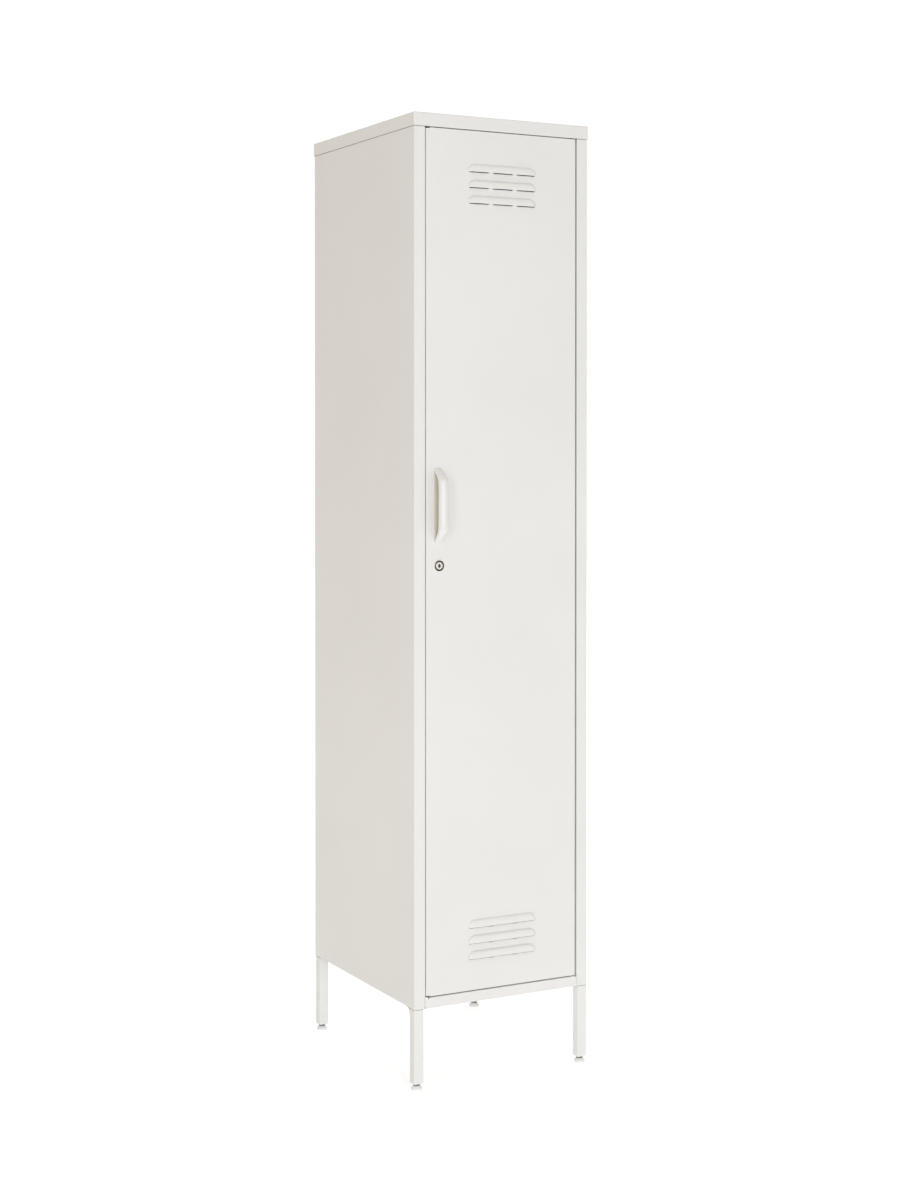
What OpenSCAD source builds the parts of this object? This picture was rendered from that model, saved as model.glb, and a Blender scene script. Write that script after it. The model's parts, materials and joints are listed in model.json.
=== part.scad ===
// Tall single-door steel locker on four legs.
// +Z is up, the door faces -Y, and the origin is on the floor under the middle of the whole locker.

/* [Cabinet] */
// Width over the top cap
width = 381; // [340:1:460]
// Depth of the top cap, without the handle
depth = 457; // [420:1:520]
// Height from the floor to the top
height = 1829; // [1780:1:1900]
// Height of the body's lower edge above the floor
leg_h = 152; // [130:1:180]
// Height of the top cap's skirt
cap_h = 25.4; // [24:0.1:32]
// Height of the rail below the door
rail_h = 20; // [18:1:26]
// How far the top cap stands out past the body
cap_lap = 1.4; // [1.3:0.1:1.6]
// Width of the folded face beside the door
stile_w = 23.2; // [23:0.1:30]
// Sheet thickness
sheet = 0.8; // [0.7:0.1:1]

/* [Door] */
// Gap at the door's free edge
free_gap = 1.6; // [1.6:0.1:2.4]
// Gap at the door's hinged edge
hinge_gap = 3.6; // [3.4:0.1:4]
// Gap above the door
top_gap = 1.8; // [1.7:0.1:2.4]
// Gap below the door
bottom_gap = 2.4; // [2.2:0.1:3]
// Thickness of the folded door
door_t = 18; // [16:0.5:18]
// Distance of the hinge axis from the door's edge and from its face
pivot_in = 6; // [5.5:0.1:6]
// Height of the lock's axis above the floor
lock_z = 982; // [900:1:1050]
// Height of the handle's middle above the floor
handle_z = 1095; // [1070:1:1200]
// Distance of the lock from the locker's middle
lock_x = 137.4; // [134:0.1:139]
// Distance of the handle from the locker's middle
handle_x = 139.6; // [136:0.1:141]

/* [Louvres] */
// Width of one louvre
louvre_w = 147; // [120:1:160]
// Height of one louvre
louvre_h = 14.6; // [12:0.1:16]
// How far a louvre stands out of the door
louvre_out = 4.4; // [3:0.1:5]
// Distance from one louvre to the next
louvre_pitch = 29.7; // [24:0.1:34]

/* [Handle] */
// Height of the handle
handle_h = 140; // [120:1:150]
// How far the handle stands out of the door
handle_out = 29; // [26:0.5:32]
// Width of the handle at its middle
handle_w = 19; // [18:0.5:22]

/* [Legs and feet] */
// Width of the square leg tube
leg_w = 20; // [18:0.5:20]
// Height of the leg tube's lower end above the floor
foot_h = 14; // [14:0.5:16]
// Radius of a foot pad
pad_r = 10.5; // [9:0.5:12]

/* [Shelves] */
// Distance between two shelf slots
slot_pitch = 50; // [40:5:60]
// Slot that holds the lower shelf, counted from 0
lower_slot = 3; // [2:1:5]
// Slot that holds the middle shelf
middle_slot = 8; // [7:1:11]
// Slot that holds the top shelf
top_slot = 25; // [23:1:26]

/* [Hidden] */
$fn = 48;
eps = 0.01;
over = 1;                           // how far a cut runs past what it cuts
fit = 0.2;                          // clearance between folded sheets
touch = 0.05;                       // clearance of a running fit
seam = 0.4;                         // gap between two sheets that meet edge to edge
bend_r = 0.8;                       // bend radius at the middle of the sheet
cap_bend_r = 1.6;                   // the same for the top cap
bend_steps = 4;
paint = "#eceae2";
steel = "#b9bab8";
chrome = "#c9c9c6";
white_plastic = "#e9e8e4";
dark_plastic = "#4a4946";
shadow_plastic = "#b8afa0";

// Body envelope
half_w = width / 2 - cap_lap;
body_d = depth - 2 * cap_lap;
screw_head = 2;
y_cap = (handle_out - cap_lap - depth - screw_head) / 2;
y_face = y_cap + cap_lap;           // the plane of the door and its frame
y_back = y_face + body_d;
z_floor = leg_h + rail_h;
z_soffit = height - cap_h;
panel_top = height - 1.5 * sheet;   // the upper edge of the sides and the back
open_w = half_w - stile_w;          // half the width of the door opening

// Folds at the side panels' front and rear
front_jamb = 22;
rear_jamb = 12;
lip_w = 10;
stop_t = front_jamb - sheet - door_t - 0.3; // thickness of the magnets and bumpers on the lip
slot_w = 4;
slot_h = 10;
slot_x = open_w - lip_w / 2;
slot_z0 = z_floor + 100;
slot_count = 30;
gap_relief = [8, 3, 16];            // the door frame's corner notches: left, right, depth

// Door
door_x0 = -open_w + free_gap;
door_x1 = open_w - hinge_gap;
door_mid = (door_x0 + door_x1) / 2;
door_z0 = z_floor + bottom_gap;
door_z1 = z_soffit - top_gap;
door_return = 14;
corner_notch = [8, 1.6];            // relief of the fold at the free edge's corners
pivot_x = door_x1 - pivot_in;
pivot_y = y_face + pivot_in;
pin_r = 3;
pin_collar_r = 5;
bush_r = 4.5;
bush_lip_r = 5.5;
bush_lip = 0.8;
stiffener_w = 60;
stiffener_margin = 165;

// Spring-loaded top pin
pin_up = 8.4;
collar_r = 4.6;
collar_h = 2.5;
bracket_drop = 50;
bracket_t = 1.5;
bracket_flange = 14;                // height of the flange that is welded to the door's edge
spring_r = 3.9;
wire_r = 0.45;
spring_turns = 13;

// Holes in the back for screws into a wall
wall_hole_r = 3.25;
wall_hole_x = 125;
wall_hole_drop = 129;
small_screw_r = 1.7;
small_head_r = 3.6;
small_screw_l = 6;
back_screw_x = half_w - 13;

// Louvres: the lower edge of the lowest one in each set
louvre_sets = [leg_h + 82, height - 163.6];
louvre_end = louvre_h;
slot_drop = 1.1;
louvre_bridge = 8.4;
bridge_x = 26;

// Lock
head_r = 10.5;
head_t = 2.2;
barrel_r = 9.4;
barrel_l = 23;
lock_nut_r = 13.6;
lock_nut_h = 3.5;
plug_r = 6.5;
cam_y = y_face + 23.8;
cam_t = 2;
cam_l = 30;
cam_w = 14;
cam_tip_r = 4;
cam_bolt_r = 3;

// Handle
handle_mid = 46;                    // half the length of the straight grip
handle_end_w = 11;
handle_end_out = 6;
handle_wall = 4.2;
handle_screw_z = handle_h / 2 - 8;
handle_screw_r = 2;
handle_plate_t = 1.2;               // the plate between the handle and the door
handle_plate_h = 130;
handle_plate_end_w = 11;

// Legs and feet
front_leg_in = 0.5;                 // how far the legs stand behind the faces of the body
rear_leg_in = 3.2;
leg_wall = 1.2;
leg_corner = 2.4;
web_r = 10;                         // curve between a leg and the side's lower edge
leg_room = leg_w + web_r + 3;
plate_t = 2;
plate_low = [-49, -7.5];            // the leg's top plate, from the leg's axis
plate_high = [5.5, 49];
plate_step = [-10, 2];              // inner corner of the plate's cut-out, which clears the hinge pin
leg_bolt_offsets = [[-34, 14], [-34, 40], [-3, 40]];
z_leg_top = z_floor - sheet;
stud_r = 4;
hex_r = 7.4;
hex_h = 4.2;
stud_l = 38;
plug_lip = 1.4;
plug_in = 18;
pad_h = 7.6;
pad_floor = 2;
leg_bolt_r = 3;

// Shelves and rail
shelf_hw = half_w - 2 * sheet - 1.4;
shelf_front = front_jamb + 2.6;
shelf_rear = body_d - 2 * sheet - rear_jamb - 2.6;
shelf_h = 20;
clip_t = 1.5;
clip_w = 16;
rail_r = 9.5;
rail_wall = 1.2;
rail_drop = 72;
rail_hw = 172;
rail_y = (shelf_front + shelf_rear) / 2;
rail_screw_r = 2;
rail_screw_y = 9;

// ---- Bent sheet ----

function left_of(u) = [-u[1], u[0]];
function unit(v) = v / norm(v);
function last(list) = list[len(list) - 1];
function reversed(list) = [for (i = [len(list) - 1 : -1 : 0]) list[i]];

// One right-angle bend of radius r at p1, on the line that runs s to the left of the sheet's middle
function bend(p0, p1, p2, s, r) =
    let (
        u = unit(p1 - p0),
        k = sign(cross(u, p2 - p1)),
        centre = p1 - u * r + left_of(u) * r * k,
        start = atan2(-k * left_of(u)[1], -k * left_of(u)[0])
    )
    [for (i = [0 : bend_steps])
        let (a = start + k * 90 * i / bend_steps)
        centre + (r - k * s) * [cos(a), sin(a)]];

// One face of a sheet that is bent along a path
function sheet_face(path, s, r) = concat(
    [path[0] + s * left_of(unit(path[1] - path[0]))],
    [for (i = [1 : len(path) - 2]) each bend(path[i - 1], path[i], path[i + 1], s, r)],
    [last(path) + s * left_of(unit(last(path) - path[len(path) - 2]))]
);

// The cut end of a bent sheet, from the points of its middle line
module bent(path, r = bend_r) {
    polygon(concat(sheet_face(path, sheet / 2, r), reversed(sheet_face(path, -sheet / 2, r))));
}

// A box between two corners
module span(low, high) {
    translate(low) cube(high - low);
}

// Stands a profile drawn in x and y up from z0 to z1
module upright(z0, z1) {
    translate([0, 0, z0]) linear_extrude(z1 - z0) children();
}

// Runs a profile drawn in y and z along x, out to hw each way
module across(hw) {
    rotate([90, 0, 90]) linear_extrude(2 * hw, center = true) children();
}

// Runs a profile drawn in x and z along y
module along(y0, y1) {
    translate([0, y1, 0]) rotate([90, 0, 0]) linear_extrude(y1 - y0) children();
}

// Points what is drawn up z towards the back, along +y
module to_rear() {
    rotate([-90, 0, 0]) children();
}

// Mirrors what is drawn for the right onto the left where side is -1
module on_side(side) {
    mirror([side < 0 ? 1 : 0, 0, 0]) children();
}

// Puts what is drawn about a leg's axis, with +x outward and -y outward, at one corner
module corner(side, end) {
    y = end < 0 ? y_face + front_leg_in + leg_w / 2 : y_back - rear_leg_in - leg_w / 2;
    on_side(side) translate([half_w - leg_w / 2, y, 0]) mirror([0, end > 0 ? 1 : 0, 0]) children();
}

module tube(r, bore, h) {
    difference() {
        cylinder(r = r, h = h);
        translate([0, 0, -over]) cylinder(r = bore, h = h + 2 * over);
    }
}

// A square with round corners, drawn about the origin
module round_square(w, r) {
    polygon([for (q = [0 : 3], i = [0 : 4])
        let (a = 90 * q + 22.5 * i, m = w / 2 - r, c = [cos(90 * q + 45), sin(90 * q + 45)])
        [sign(c[0]) * m, sign(c[1]) * m] + r * [cos(a), sin(a)]]);
}

// ---- Casing ----

module top_cap() {
    low = y_cap;
    high = y_cap + depth;
    hw = width / 2;
    outer = cap_bend_r + sheet / 2;
    skirt_return = 20;
    soffit_rear = y_face + front_jamb - 2 * sheet;
    color(paint) {
        // Front skirt, top sheet and rear skirt
        difference() {
            across(hw - outer) bent([
                [high - sheet / 2, z_soffit], [high - sheet / 2, height - sheet / 2],
                [low + sheet / 2, height - sheet / 2], [low + sheet / 2, z_soffit]
            ], cap_bend_r);
            cap_screw_places() small_screw_hole();
        }
        // Side skirts
        for (s = [-1, 1]) along(low + outer, high - outer) bent([
            [s * (hw - skirt_return), height - sheet / 2], [s * (hw - sheet / 2), height - sheet / 2],
            [s * (hw - sheet / 2), z_soffit]
        ], cap_bend_r);
        // Round corners between the skirts
        for (side = [-1, 1], end = [-1, 1]) cap_corner(side, end);
        // Soffit over the door, which carries the upper hinge bush
        difference() {
            across(open_w - seam) bent([
                [low + sheet / 2, z_soffit + sheet / 2], [soffit_rear, z_soffit + sheet / 2],
                [soffit_rear, z_soffit + 12]
            ], cap_bend_r);
            at_pivot(z_soffit - over) cylinder(r = bush_r, h = 4);
            gap_corners(z_soffit);
        }
    }
}

// One corner of the cap: a quarter-round skirt and a quarter of a dome
module cap_corner(side, end) {
    outer = cap_bend_r + sheet / 2;
    y = end < 0 ? y_cap + outer : y_cap + depth - outer;
    turn = end < 0 ? (side < 0 ? 180 : -90) : (side < 0 ? 90 : 0);
    translate([side * (width / 2 - outer), y, 0]) rotate([0, 0, turn]) {
        translate([0, 0, z_soffit]) rotate_extrude(angle = 90)
            translate([outer - sheet, 0]) square([sheet, cap_h - outer]);
        translate([0, 0, height - outer]) rotate_extrude(angle = 90) intersection() {
            difference() {
                circle(outer);
                circle(outer - sheet);
            }
            square(outer);
        }
    }
}

// The notches at the corners of the door frame, through the sheet at height z
module gap_corners(z) {
    deep = gap_relief[2];
    span([-open_w - over, y_face - eps, z - 2], [-open_w + gap_relief[0], y_face + deep, z + 2]);
    span([open_w - gap_relief[1], y_face - eps, z - 2], [open_w + over, y_face + deep, z + 2]);
}

// The right side: one sheet folded round the front and the back, with a row of slots in each lip
module side_panel() {
    outer_x = half_w - sheet / 2;
    inner_x = open_w + sheet / 2;
    lip_x = open_w - lip_w;
    front = y_face + sheet / 2;
    rear = y_back - 1.5 * sheet;
    hem = 13;
    outer = bend_r + sheet / 2;
    fold_x = open_w + 2 * outer;
    z_under = leg_h - over;
    color(paint) {
        difference() {
            upright(leg_h, panel_top) bent([
                [lip_x, y_face + front_jamb - sheet / 2], [inner_x, y_face + front_jamb - sheet / 2],
                [inner_x, front], [outer_x, front], [outer_x, rear], [inner_x, rear],
                [inner_x, rear - rear_jamb], [lip_x, rear - rear_jamb]
            ]);
            // The jambs and lips stand on the base panel's floor
            span([lip_x - over, y_face + outer, z_under], [fold_x, y_face + 2 * front_jamb, z_floor]);
            span([lip_x - over, y_back - 2 * rear_jamb, z_under],
                [fold_x, y_back - sheet - outer, z_floor]);
            span([lip_x - over, y_face - over, z_under], [open_w + eps, y_back, z_floor]);
            // Room for the hem
            span([half_w - outer, y_face + leg_room, z_under],
                [half_w + over, y_back - leg_room, leg_h + outer]);
            for (i = [0 : slot_count - 1], y = [y_face + front_jamb, rear - rear_jamb])
                translate([slot_x, y, slot_z0 + slot_h / 2 + i * slot_pitch])
                    cube([slot_w, 6 * sheet, slot_h], center = true);
            back_screw_places() small_screw_hole(small_screw_r);
            cap_screw_places() small_screw_hole(small_screw_r);
        }
        along(y_face + leg_room, y_back - leg_room) bent([
            [outer_x, leg_h + outer + eps], [outer_x, leg_h + sheet / 2], [half_w - hem, leg_h + sheet / 2]
        ]);
    }
}

module back_panel() {
    hw = half_w - bend_r;
    color(paint) difference() {
        span([-hw, y_back - sheet, leg_h], [hw, y_back, panel_top]);
        wall_holes() small_screw_hole(wall_hole_r);
        back_screw_places() small_screw_hole();
        cap_screw_places() small_screw_hole();
    }
}

// Two holes for screws into a wall
module wall_holes() {
    for (x = [-wall_hole_x, wall_hole_x]) translate([x, y_back, height - wall_hole_drop]) children();
}

// A hole through a sheet that faces the back, by default with room for a small screw
module small_screw_hole(r = small_screw_r + 0.4) {
    to_rear() translate([0, 0, -5]) cylinder(r = r, h = 8);
}

module back_screw_places() {
    rows = 5;
    low = leg_h + 60;
    high = height - 90;
    for (x = [-1, 1], i = [0 : rows - 1])
        translate([x * back_screw_x, y_back, low + i * (high - low) / (rows - 1)]) children();
}

module cap_screw_places() {
    for (x = [-1, 1]) translate([x * back_screw_x, y_back + cap_lap, height - cap_h / 2]) children();
}

module base_panel() {
    hw = half_w - 2 * sheet - fit;
    skirt = 14;
    z_low = leg_h + sheet / 2;
    z_top = z_floor - sheet / 2;
    y_rear = y_back - 2.5 * sheet;
    color(paint) difference() {
        union() {
            // Floor
            span([-hw, y_face + sheet + fit, z_floor - sheet], [hw, y_rear - bend_r, z_floor]);
            // Front rail and its return
            across(open_w - seam) bent([
                [y_face + skirt, z_low], [y_face + sheet / 2, z_low],
                [y_face + sheet / 2, z_top], [y_face + skirt, z_top]
            ]);
            // Rear skirt
            across(open_w - seam) bent([
                [y_rear - skirt, z_top], [y_rear, z_top],
                [y_rear, z_low], [y_rear - skirt, z_low]
            ]);
            // Side skirts, standing on the side panels' hems
            for (s = [-1, 1]) along(y_face + leg_room, y_back - leg_room) bent([
                [s * (hw - skirt), z_top], [s * (hw - sheet / 2), z_top],
                [s * (hw - sheet / 2), z_low + sheet], [s * (hw - skirt), z_low + sheet]
            ]);
        }
        leg_bolt_places() translate([0, 0, -5]) cylinder(r = leg_bolt_r + touch, h = 10);
        at_pivot(z_floor - 5) cylinder(r = pin_r, h = 10);
        gap_corners(z_floor);
    }
}

// ---- Fasteners ----

// A pan-head screw whose head lies on z = 0 and whose shank runs down
module screw(r, head_r, head_h, length) {
    color(steel) difference() {
        union() {
            cylinder(r1 = head_r, r2 = head_r * 0.72, h = head_h);
            translate([0, 0, -length]) cylinder(r = r, h = length + eps);
        }
        for (a = [0, 90]) rotate([0, 0, a]) translate([0, 0, head_h * 0.95])
            cube([head_r * 0.9, head_r * 0.18, head_h], center = true);
    }
}

module back_panel_screws() {
    back_screw_places() to_rear() screw(small_screw_r, small_head_r, screw_head, small_screw_l);
}

module cap_screws() {
    cap_screw_places() to_rear() screw(small_screw_r, small_head_r, screw_head, small_screw_l);
}

// ---- Shelves ----

function shelf_z(slot) = slot_z0 + slot * slot_pitch + shelf_h;

module shelf(slot) {
    z = shelf_z(slot);
    y0 = y_face + shelf_front;
    y1 = y_face + shelf_rear;
    turn_in = 10;
    holes = slot == top_slot;
    color(paint) difference() {
        union() {
            across(shelf_hw - 0.3) bent([
                [y0 + turn_in, z - shelf_h + sheet / 2], [y0 + sheet / 2, z - shelf_h + sheet / 2],
                [y0 + sheet / 2, z - sheet / 2], [y1 - sheet / 2, z - sheet / 2],
                [y1 - sheet / 2, z - shelf_h + sheet / 2], [y1 - turn_in, z - shelf_h + sheet / 2]
            ]);
            for (s = [-1, 1]) along(y0 + turn_in + 1, y1 - turn_in - 1) bent([
                [s * (shelf_hw - turn_in), z - sheet / 2], [s * (shelf_hw - sheet / 2), z - sheet / 2],
                [s * (shelf_hw - sheet / 2), z - shelf_h + sheet / 2],
                [s * (shelf_hw - turn_in), z - shelf_h + sheet / 2]
            ]);
        }
        if (holes) rail_screw_places() translate([0, 0, -3]) cylinder(r = rail_screw_r + 0.1, h = 6);
    }
}

// Four clips that hook into the side panels' slots and carry a shelf's folded edge
module shelf_clips(slot) {
    z = shelf_z(slot) - shelf_h;
    rear = y_back - sheet - rear_jamb;
    for (side = [-1, 1]) on_side(side) {
        translate([slot_x, y_face + front_jamb, z]) clip();
        translate([slot_x, rear - sheet, z]) mirror([0, 1, 0]) clip();
    }
}

// A clip's plate against the lip, its ledge under the shelf and the hook through the slot
module clip() {
    plate_h = 10;
    ledge = 13;
    nib = 2;
    nib_hw = slot_w / 2 - 0.3;
    color(steel) {
        span([-clip_w / 2, 0, -plate_h], [clip_w / 2, clip_t, 0]);
        span([-clip_w / 2, 0, -clip_t], [clip_w / 2, ledge, 0]);
        span([-nib_hw, -nib, 0.8], [nib_hw, clip_t, slot_h - 2]);
        span([-nib_hw, 0, -clip_t], [nib_hw, clip_t, nib]);
    }
}

// ---- Coat rail, hung under the top shelf ----

module rail_screw_places() {
    for (s = [-1, 1], y = [-rail_screw_y, rail_screw_y])
        translate([s * (rail_hw - 19), y_face + rail_y + y, shelf_z(top_slot)]) children();
}

// Two angles with a round lower end and a hole that the rail passes through
module rail_brackets() {
    t = 2;
    foot = 22;
    hw = 18;
    y = y_face + rail_y;
    x_in = rail_hw - 8;
    z_top = shelf_z(top_slot) - sheet;
    z_rail = shelf_z(top_slot) - rail_drop;
    color(steel) difference() {
        for (side = [-1, 1]) on_side(side) {
            span([x_in - foot, y - hw, z_top - t], [x_in, y + hw, z_top]);
            span([x_in - t, y - hw, z_rail], [x_in, y + hw, z_top]);
            translate([x_in - t, y, z_rail]) rotate([0, 90, 0]) cylinder(r = hw, h = t);
        }
        for (side = [-1, 1]) on_side(side)
            translate([x_in - t - over, y, z_rail]) rotate([0, 90, 0])
                cylinder(r = rail_r, h = t + 2 * over);
        rail_screw_places() translate([0, 0, -5]) cylinder(r = rail_screw_r, h = 6);
    }
}

module coat_rail() {
    color(chrome) translate([-rail_hw, y_face + rail_y, shelf_z(top_slot) - rail_drop])
        rotate([0, 90, 0]) tube(rail_r, rail_r - rail_wall, 2 * rail_hw);
}

module rail_end_caps() {
    inner = rail_r - rail_wall;
    deep = 9;
    for (side = [-1, 1]) on_side(side) color(white_plastic)
        translate([rail_hw, y_face + rail_y, shelf_z(top_slot) - rail_drop]) rotate([0, 90, 0]) {
            cylinder(r1 = rail_r, r2 = rail_r - 1, h = 2);
            translate([0, 0, -deep]) tube(inner, inner - 1.8, deep + eps);
        }
}

module rail_bracket_screws() {
    rail_screw_places() screw(rail_screw_r, 4, 2.2, 9);
}

// ---- Legs and levelling feet ----

// A square tube with a bolted plate on top and a curved web up to the side's lower edge
module leg() {
    inner = leg_w - 2 * leg_wall;
    narrow = 0.5;
    z_plate = z_leg_top - plate_t;
    color(paint) difference() {
        union() {
            upright(foot_h, leg_h) round_square(leg_w, leg_corner);
            // Inside the body the tube is narrower, to clear the folded sheet
            upright(leg_h - 1, z_plate + eps) translate([-narrow, narrow])
                round_square(leg_w - 2 * narrow, 1.5);
            translate([leg_w / 2 - leg_wall, 0, 0]) rotate([90, 0, 90])
                linear_extrude(leg_wall) web_shape();
            span([plate_low[0], plate_step[1], z_plate], [plate_high[0], plate_high[1], z_leg_top]);
            span([plate_step[0], plate_low[1], z_plate], [plate_high[0], plate_high[1], z_leg_top]);
        }
        upright(foot_h - over, z_plate) translate([-narrow / 2, narrow / 2])
            round_square(inner - narrow, 1);
        upright(foot_h - over, foot_h + plug_in + over) round_square(inner, 1);
        for (p = leg_bolt_offsets)
            translate([p[0], p[1], z_leg_top - 5]) cylinder(r = leg_bolt_r + touch, h = 8);
    }
}

// Fills the corner between a leg and the side's lower edge, leaving a round hollow
module web_shape() {
    difference() {
        translate([leg_w / 2 - leg_corner, leg_h - web_r]) square([web_r + leg_corner, web_r]);
        translate([leg_w / 2 + web_r, leg_h - web_r]) circle(web_r);
    }
}

module leg_bolt_places() {
    for (side = [-1, 1], end = [-1, 1]) corner(side, end)
        for (p = leg_bolt_offsets) translate([p[0], p[1], z_floor]) children();
}

module leg_bolts() {
    leg_bolt_places() screw(leg_bolt_r, 5.5, 2.2, 12);
}

module leg_nuts() {
    nut_h = 4;
    nut_r = 5.7;
    color(steel) leg_bolt_places() translate([0, 0, -sheet - plate_t - nut_h]) difference() {
        cylinder(r = nut_r, h = nut_h, $fn = 6);
        translate([0, 0, -over]) cylinder(r = leg_bolt_r, h = nut_h + 2 * over);
    }
}

// A plastic plug in the tube's end, threaded for the foot
module leg_plug() {
    color(white_plastic) difference() {
        union() {
            upright(foot_h - plug_lip, foot_h) round_square(leg_w, leg_corner);
            upright(foot_h - eps, foot_h + plug_in) round_square(leg_w - 2 * leg_wall - 0.1, 1);
        }
        translate([0, 0, foot_h - plug_lip - over]) cylinder(r = stud_r + touch, h = plug_in + 5);
    }
}

// A threaded stud with a hexagon to turn it by and a spigot in the pad
module foot_stud() {
    z_hex = foot_h - plug_lip - fit - hex_h;
    z_spigot = pad_floor + fit;
    color(steel) {
        translate([0, 0, z_hex]) cylinder(r = hex_r, h = hex_h, $fn = 6);
        translate([0, 0, z_hex]) cylinder(r = stud_r, h = stud_l);
        translate([0, 0, z_spigot]) cylinder(r = pin_r, h = z_hex - z_spigot + eps);
    }
}

module foot_pad() {
    color(white_plastic) difference() {
        rotate_extrude() polygon([
            [0, 0], [pad_r - 0.8, 0], [pad_r, 0.8], [pad_r, 3], [pad_r - 0.6, 4.4],
            [pad_r - 2, 5.6], [6.4, pad_h], [0, pad_h]
        ]);
        translate([0, 0, pad_floor]) cylinder(r = pin_r + touch, h = pad_h);
    }
}

// ---- Door ----

module door_panel() {
    y0 = y_face;
    y1 = y_face + door_t;
    color(paint) {
        difference() {
            union() {
                upright(door_z0, door_z1) bent([
                    [door_x0 + door_return, y1 - sheet / 2], [door_x0 + sheet / 2, y1 - sheet / 2],
                    [door_x0 + sheet / 2, y0 + sheet / 2], [door_x1 - sheet / 2, y0 + sheet / 2],
                    [door_x1 - sheet / 2, y1 - sheet / 2], [door_x1 - door_return, y1 - sheet / 2]
                ]);
                for (z = [door_z0, door_z1 - sheet])
                    span([door_x0 + sheet, y0 + sheet / 2, z],
                        [door_x1 - sheet, y1 - sheet / 2, z + sheet]);
                for (z = [[door_z0, door_z0 + door_return], [door_z1 - door_return, door_z1]])
                    span([door_x0 + sheet, y1 - sheet, z[0]], [door_x1 - sheet, y1, z[1]]);
            }
            for (z = [door_z0, door_z1]) translate([door_x0, y0 - 1, z])
                cube([2 * corner_notch[0], 2 * door_t + 4, 2 * corner_notch[1]], center = true);
            every_louvre() louvre_slots();
            translate([-lock_x, y0, lock_z]) to_rear() translate([0, 0, -1]) cylinder(r = barrel_r, h = 4);
            handle_screw_places() to_rear() translate([0, 0, -1]) cylinder(r = handle_screw_r, h = 4);
            at_pivot(door_z0 - over) cylinder(r = bush_r, h = 3);
            at_pivot(door_z1 - 2) cylinder(r = pin_r + touch, h = 4);
        }
        every_louvre() louvre_hood();
    }
}

// Places children at the middle of each louvre's lower edge
module every_louvre() {
    for (z = louvre_sets, i = [0 : 2]) translate([door_mid, y_face, z + i * louvre_pitch]) children();
}

// The slots through the door's skin, with two bridges between them
module louvre_slots() {
    reach = louvre_w / 2 - 2.5;
    inner = bridge_x - louvre_bridge / 2;
    outer = bridge_x + louvre_bridge / 2;
    for (x = [[-reach, -outer], [-inner, inner], [outer, reach]])
        span([x[0], -1, -slot_drop], [x[1], 3, 5]);
}

// How far the hood stands out at a distance r above its lower edge, for a hood of height h and depth p
function hood_out(r, h, p) = p * sqrt(1 - pow(r / h, 4));

function hood_curve(h, p) = [for (i = [0 : 8]) let (r = h * sin(90 * i / 8)) [r, hood_out(r, h, p)]];

// The hood's section: height above its lower edge, then distance out of the door
module hood_section() {
    polygon(concat(
        hood_curve(louvre_h, louvre_out),
        reversed(hood_curve(louvre_h - sheet, louvre_out - sheet))
    ));
}

// A pressed hood with quarter-round ends, open along its lower edge
module louvre_hood() {
    straight = louvre_w / 2 - louvre_end;
    rotate([90, 0, 0]) {
        rotate([0, 0, 90]) rotate([90, 0, 0]) linear_extrude(2 * straight, center = true) hood_section();
        translate([straight, 0, 0]) rotate_extrude(angle = 90) hood_section();
        translate([-straight, 0, 0]) rotate([0, 0, 90]) rotate_extrude(angle = 90) hood_section();
    }
    for (x = [-bridge_x, bridge_x])
        span([x - louvre_bridge / 2, -louvre_out, -slot_drop], [x + louvre_bridge / 2, eps, 1]);
}

// A hat channel up the middle of the door's inside
module door_stiffener() {
    y0 = y_face + sheet * 1.5;
    deep = 14;
    crown = stiffener_w / 2 - 12;
    color(paint) translate([door_mid, 0, 0])
        upright(door_z0 + stiffener_margin, door_z1 - stiffener_margin) bent([
            [-stiffener_w / 2, y0], [-crown, y0], [-crown, y0 + deep],
            [crown, y0 + deep], [crown, y0], [stiffener_w / 2, y0]
        ]);
}

// ---- Handle ----

module handle_screw_places() {
    for (s = [-1, 1]) translate([-handle_x, y_face, handle_z + s * handle_screw_z]) children();
}

// A bowed block on the door's face: full size along the grip and small at its ends
module handle_block(w, out, end_w, end_out, length) {
    intersection() {
        hull() {
            upright(-handle_mid, handle_mid) scale([w / out, 1]) circle(out, $fn = 32);
            for (s = [-1, 1])
                translate([0, 0, s * (length - 1) / 2]) linear_extrude(1, center = true)
                    scale([end_w / 2 / end_out, 1]) circle(end_out, $fn = 32);
        }
        span([-w, -out, -length], [w, 0, length]);
    }
}

// A cast pull, hollow on the side of the door's free edge
module handle() {
    hollow_out = handle_out - handle_wall;
    hollow_w = handle_w / 2 - handle_wall / 2;
    hollow_h = handle_h - 26;
    color(paint) translate([-handle_x, y_face, handle_z]) difference() {
        handle_block(handle_w / 2, handle_out, handle_end_w, handle_end_out, handle_h);
        translate([-handle_wall, 0, 0]) intersection() {
            hull() {
                upright(-handle_mid + 6, handle_mid - 6)
                    scale([hollow_w / hollow_out, 1]) circle(hollow_out, $fn = 32);
                for (s = [-1, 1]) translate([0, 0, s * hollow_h / 2])
                    linear_extrude(1, center = true) scale([0.9, 1]) circle(5, $fn = 32);
            }
            span([-handle_out, -hollow_out + 1, -handle_h], [handle_out, over, handle_h]);
        }
        span([-handle_out, -hollow_out + 2.5, -handle_mid], [-5, over, handle_mid]);
        plate_shape();
        handle_screw_bores();
    }
}

// The holes for the handle's screws, from the door's face
module handle_screw_bores() {
    for (s = [-1, 1]) translate([0, eps, s * handle_screw_z])
        rotate([90, 0, 0]) cylinder(r = handle_screw_r, h = 4.5);
}

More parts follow.
